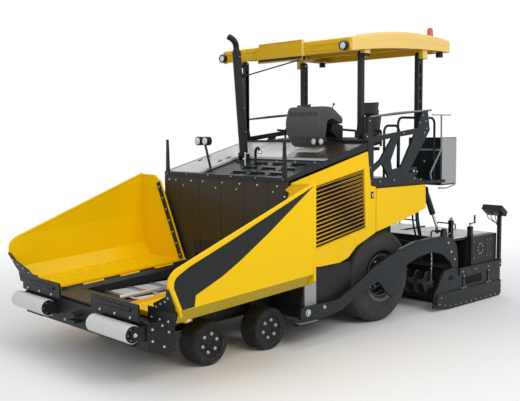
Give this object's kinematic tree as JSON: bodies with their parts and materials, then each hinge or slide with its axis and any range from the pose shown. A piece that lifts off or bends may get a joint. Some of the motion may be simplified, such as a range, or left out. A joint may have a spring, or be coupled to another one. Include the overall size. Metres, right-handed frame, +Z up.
{
  "type": "wheeled asphalt paver",
  "caption": "Wheeled asphalt paver with folding hopper wings, twin slat conveyors, augers, towed extending screed and a fold-down canopy over the operator platform.",
  "frame": {"origin": "on the ground, at the middle of the overall length and width", "axes": "+X to the machine's left, -Y to its front (hopper), +Z up"},
  "size_m": [3.35, 6.927, 4.016],
  "materials": {
    "yellow": "gloss",
    "dark_paint": "satin",
    "light_grey": "gloss",
    "steel": "satin",
    "cast": "matte",
    "tyre": "matte",
    "plastic_dark": "satin",
    "roof": "satin",
    "beacon": "gloss",
    "lamp": "gloss"
  },
  "bodies": {
    "chassis": {"auger_carrier": "dark_paint", "bogie_beams": "dark_paint", "console": "plastic_dark", "conveyors": "dark_paint", "engine_block": "cast", "handrails": "dark_paint", "hood_deck": "dark_paint", "hood_top": "light_grey", "hopper_back_wall": "dark_paint", "hopper_floor": "dark_paint", "main_frame": "dark_paint", "operator_platform": "dark_paint", "push_beam": "dark_paint", "rear_fenders": "yellow", "rear_lockers": "light_grey", "seats": "plastic_dark", "side_covers": "light_grey", "side_frames": "dark_paint"},
    "rear_wheel_left": {"rear_tyre_left": "tyre", "rear_rim_left": "dark_paint"},
    "knuckle_left_front": {"knuckle_left_front": "dark_paint"},
    "front_wheel_left_front": {"front_wheel_left_front": "tyre"},
    "knuckle_left_back": {"knuckle_left_back": "dark_paint"},
    "front_wheel_left_back": {"front_wheel_left_back": "tyre"},
    "push_roller_left": {"push_roller_left": "steel"},
    "rear_wheel_right": {"rear_tyre_right": "tyre", "rear_rim_right": "dark_paint"},
    "knuckle_right_front": {"knuckle_right_front": "dark_paint"},
    "front_wheel_right_front": {"front_wheel_right_front": "tyre"},
    "knuckle_right_back": {"knuckle_right_back": "dark_paint"},
    "front_wheel_right_back": {"front_wheel_right_back": "tyre"},
    "push_roller_right": {"push_roller_right": "steel"},
    "wing_left": {"wing_left": "yellow"},
    "wing_barrel_left": {"wing_barrel_left": "dark_paint"},
    "wing_rod_left": {"wing_rod_left": "steel"},
    "wing_right": {"wing_right": "yellow"},
    "wing_barrel_right": {"wing_barrel_right": "dark_paint"},
    "wing_rod_right": {"wing_rod_right": "steel"},
    "side_door_left": {"side_door_left": "yellow"},
    "side_door_right": {"side_door_right": "yellow"},
    "front_posts": {"front_posts": "dark_paint"},
    "rear_posts": {"rear_posts": "dark_paint"},
    "roof": {"canopy": "roof", "beacon": "beacon", "roof_lamps": "lamp"},
    "exhaust": {"exhaust": "dark_paint"},
    "screed": {"screed_main": "dark_paint", "tow_arms": "dark_paint"},
    "extension_left": {"extension_left": "dark_paint", "end_gate_left": "dark_paint"},
    "auger_left": {"auger_left": "dark_paint"},
    "extension_right": {"extension_right": "dark_paint", "end_gate_right": "dark_paint"},
    "auger_right": {"auger_right": "dark_paint"},
    "lift_barrels": {"lift_barrels": "dark_paint"},
    "lift_rods": {"lift_rods": "steel"}
  },
  "joints": [
    {"name": "rear_wheel_left_spin", "type": "hinge", "parent": "chassis", "child": "rear_wheel_left", "pos_m": [0.887, 0.7215, 0.623], "axis": [1, 0, 0], "continuous": true},
    {"name": "steer_left_front", "type": "hinge", "parent": "chassis", "child": "knuckle_left_front", "pos_m": [0.7, -2.2255, 0.25], "axis": [0, 0, 1], "range_deg": [-25, 25]},
    {"name": "front_wheel_left_front_spin", "type": "hinge", "parent": "knuckle_left_front", "child": "front_wheel_left_front", "pos_m": [0.89, -2.2255, 0.25], "axis": [1, 0, 0], "continuous": true},
    {"name": "steer_left_back", "type": "hinge", "parent": "chassis", "child": "knuckle_left_back", "pos_m": [0.7, -1.3135, 0.25], "axis": [0, 0, 1], "range_deg": [-25, 25]},
    {"name": "front_wheel_left_back_spin", "type": "hinge", "parent": "knuckle_left_back", "child": "front_wheel_left_back", "pos_m": [0.89, -1.3135, 0.25], "axis": [1, 0, 0], "continuous": true},
    {"name": "push_roller_left_spin", "type": "hinge", "parent": "chassis", "child": "push_roller_left", "pos_m": [0.846, -3.3685, 0.591], "axis": [1, 0, 0], "continuous": true},
    {"name": "rear_wheel_right_spin", "type": "hinge", "parent": "chassis", "child": "rear_wheel_right", "pos_m": [-0.887, 0.7215, 0.623], "axis": [1, 0, 0], "continuous": true},
    {"name": "steer_right_front", "type": "hinge", "parent": "chassis", "child": "knuckle_right_front", "pos_m": [-0.7, -2.2255, 0.25], "axis": [0, 0, 1], "range_deg": [-25, 25]},
    {"name": "front_wheel_right_front_spin", "type": "hinge", "parent": "knuckle_right_front", "child": "front_wheel_right_front", "pos_m": [-0.89, -2.2255, 0.25], "axis": [1, 0, 0], "continuous": true},
    {"name": "steer_right_back", "type": "hinge", "parent": "chassis", "child": "knuckle_right_back", "pos_m": [-0.7, -1.3135, 0.25], "axis": [0, 0, 1], "range_deg": [-25, 25]},
    {"name": "front_wheel_right_back_spin", "type": "hinge", "parent": "knuckle_right_back", "child": "front_wheel_right_back", "pos_m": [-0.89, -1.3135, 0.25], "axis": [1, 0, 0], "continuous": true},
    {"name": "push_roller_right_spin", "type": "hinge", "parent": "chassis", "child": "push_roller_right", "pos_m": [-0.846, -3.3685, 0.591], "axis": [1, 0, 0], "continuous": true},
    {"name": "wing_left_fold", "type": "hinge", "parent": "chassis", "child": "wing_left", "pos_m": [0.645, -3.0925, 0.735], "axis": [0, -0.998, -0.0638], "range_deg": [0, 45]},
    {"name": "wing_barrel_left_turn", "type": "hinge", "parent": "chassis", "child": "wing_barrel_left", "pos_m": [0.655, -2.75935, 0.4557], "axis": [0, -0.998, -0.0638], "range_deg": [0, 36.66]},
    {"name": "wing_rod_left_slide", "type": "slide", "parent": "wing_barrel_left", "child": "wing_rod_left", "axis": [0.9551, -0.0189, 0.2956], "range_m": [0, 0.196]},
    {"name": "wing_right_fold", "type": "hinge", "parent": "chassis", "child": "wing_right", "pos_m": [-0.645, -3.0925, 0.735], "axis": [0, 0.998, 0.0638], "range_deg": [0, 45]},
    {"name": "wing_barrel_right_turn", "type": "hinge", "parent": "chassis", "child": "wing_barrel_right", "pos_m": [-0.655, -2.75935, 0.4557], "axis": [0, 0.998, 0.0638], "range_deg": [0, 36.66]},
    {"name": "wing_rod_right_slide", "type": "slide", "parent": "wing_barrel_right", "child": "wing_rod_right", "axis": [-0.9551, -0.0189, 0.2956], "range_m": [0, 0.196]},
    {"name": "side_door_left_open", "type": "hinge", "parent": "chassis", "child": "side_door_left", "pos_m": [1.202, -1.1625, 1.45], "axis": [0, 0, -1], "range_deg": [0, 85]},
    {"name": "side_door_right_open", "type": "hinge", "parent": "chassis", "child": "side_door_right", "pos_m": [-1.202, -1.1625, 1.45], "axis": [0, 0, 1], "range_deg": [0, 85]},
    {"name": "roof_fold", "type": "hinge", "parent": "chassis", "child": "front_posts", "pos_m": [0, 0.2415, 2.5], "axis": [-1, 0, 0], "range_deg": [0, 45]},
    {"name": "rear_posts_fold", "type": "hinge", "parent": "chassis", "child": "rear_posts", "pos_m": [0, 1.4815, 2.54], "axis": [-1, 0, 0], "range_deg": [0, 45]},
    {"name": "roof_level", "type": "hinge", "parent": "front_posts", "child": "roof", "pos_m": [0, 0.2415, 3.55], "axis": [-1, 0, 0], "range_deg": [-45, 0]},
    {"name": "exhaust_fold", "type": "hinge", "parent": "chassis", "child": "exhaust", "pos_m": [-0.3, -0.5235, 2.25821], "axis": [-1, 0, 0], "range_deg": [0, 45]},
    {"name": "screed_lift", "type": "hinge", "parent": "chassis", "child": "screed", "pos_m": [0, -0.9085, 0.411], "axis": [1, 0, 0], "range_deg": [0, 5]},
    {"name": "extension_left_slide", "type": "slide", "parent": "screed", "child": "extension_left", "axis": [1, 0, 0], "range_m": [0, 1]},
    {"name": "auger_left_spin", "type": "hinge", "parent": "chassis", "child": "auger_left", "pos_m": [0.62, 1.8265, 0.37], "axis": [1, 0, 0], "continuous": true},
    {"name": "extension_right_slide", "type": "slide", "parent": "screed", "child": "extension_right", "axis": [-1, 0, 0], "range_m": [0, 1]},
    {"name": "auger_right_spin", "type": "hinge", "parent": "chassis", "child": "auger_right", "pos_m": [-0.62, 1.8265, 0.37], "axis": [1, 0, 0], "continuous": true},
    {"name": "lift_barrels_turn", "type": "hinge", "parent": "chassis", "child": "lift_barrels", "pos_m": [0, 1.6015, 1.745], "axis": [1, 0, 0], "range_deg": [0, 7.18]},
    {"name": "lift_rods_slide", "type": "slide", "parent": "lift_barrels", "child": "lift_rods", "axis": [0, 0.4838, -0.8752], "range_m": [-0.2503, 0]}
  ],
  "couplings": [
    {"joint": "steer_left_back", "follows": "steer_left_front", "ratio": 1},
    {"joint": "steer_right_front", "follows": "steer_left_front", "ratio": 1},
    {"joint": "steer_right_back", "follows": "steer_left_front", "ratio": 1},
    {"joint": "wing_barrel_left_turn", "follows": "wing_left_fold", "ratio": 0.79252},
    {"joint": "wing_rod_left_slide", "follows": "wing_left_fold", "m_per_rad": 0.24572},
    {"joint": "wing_barrel_right_turn", "follows": "wing_right_fold", "ratio": 0.79252},
    {"joint": "wing_rod_right_slide", "follows": "wing_right_fold", "m_per_rad": 0.24572},
    {"joint": "rear_posts_fold", "follows": "roof_fold", "ratio": 1},
    {"joint": "roof_level", "follows": "roof_fold", "ratio": -1},
    {"joint": "exhaust_fold", "follows": "roof_fold", "ratio": 1},
    {"joint": "lift_barrels_turn", "follows": "screed_lift", "ratio": 1.3751},
    {"joint": "lift_rods_slide", "follows": "screed_lift", "m_per_rad": -2.8336}
  ]
}
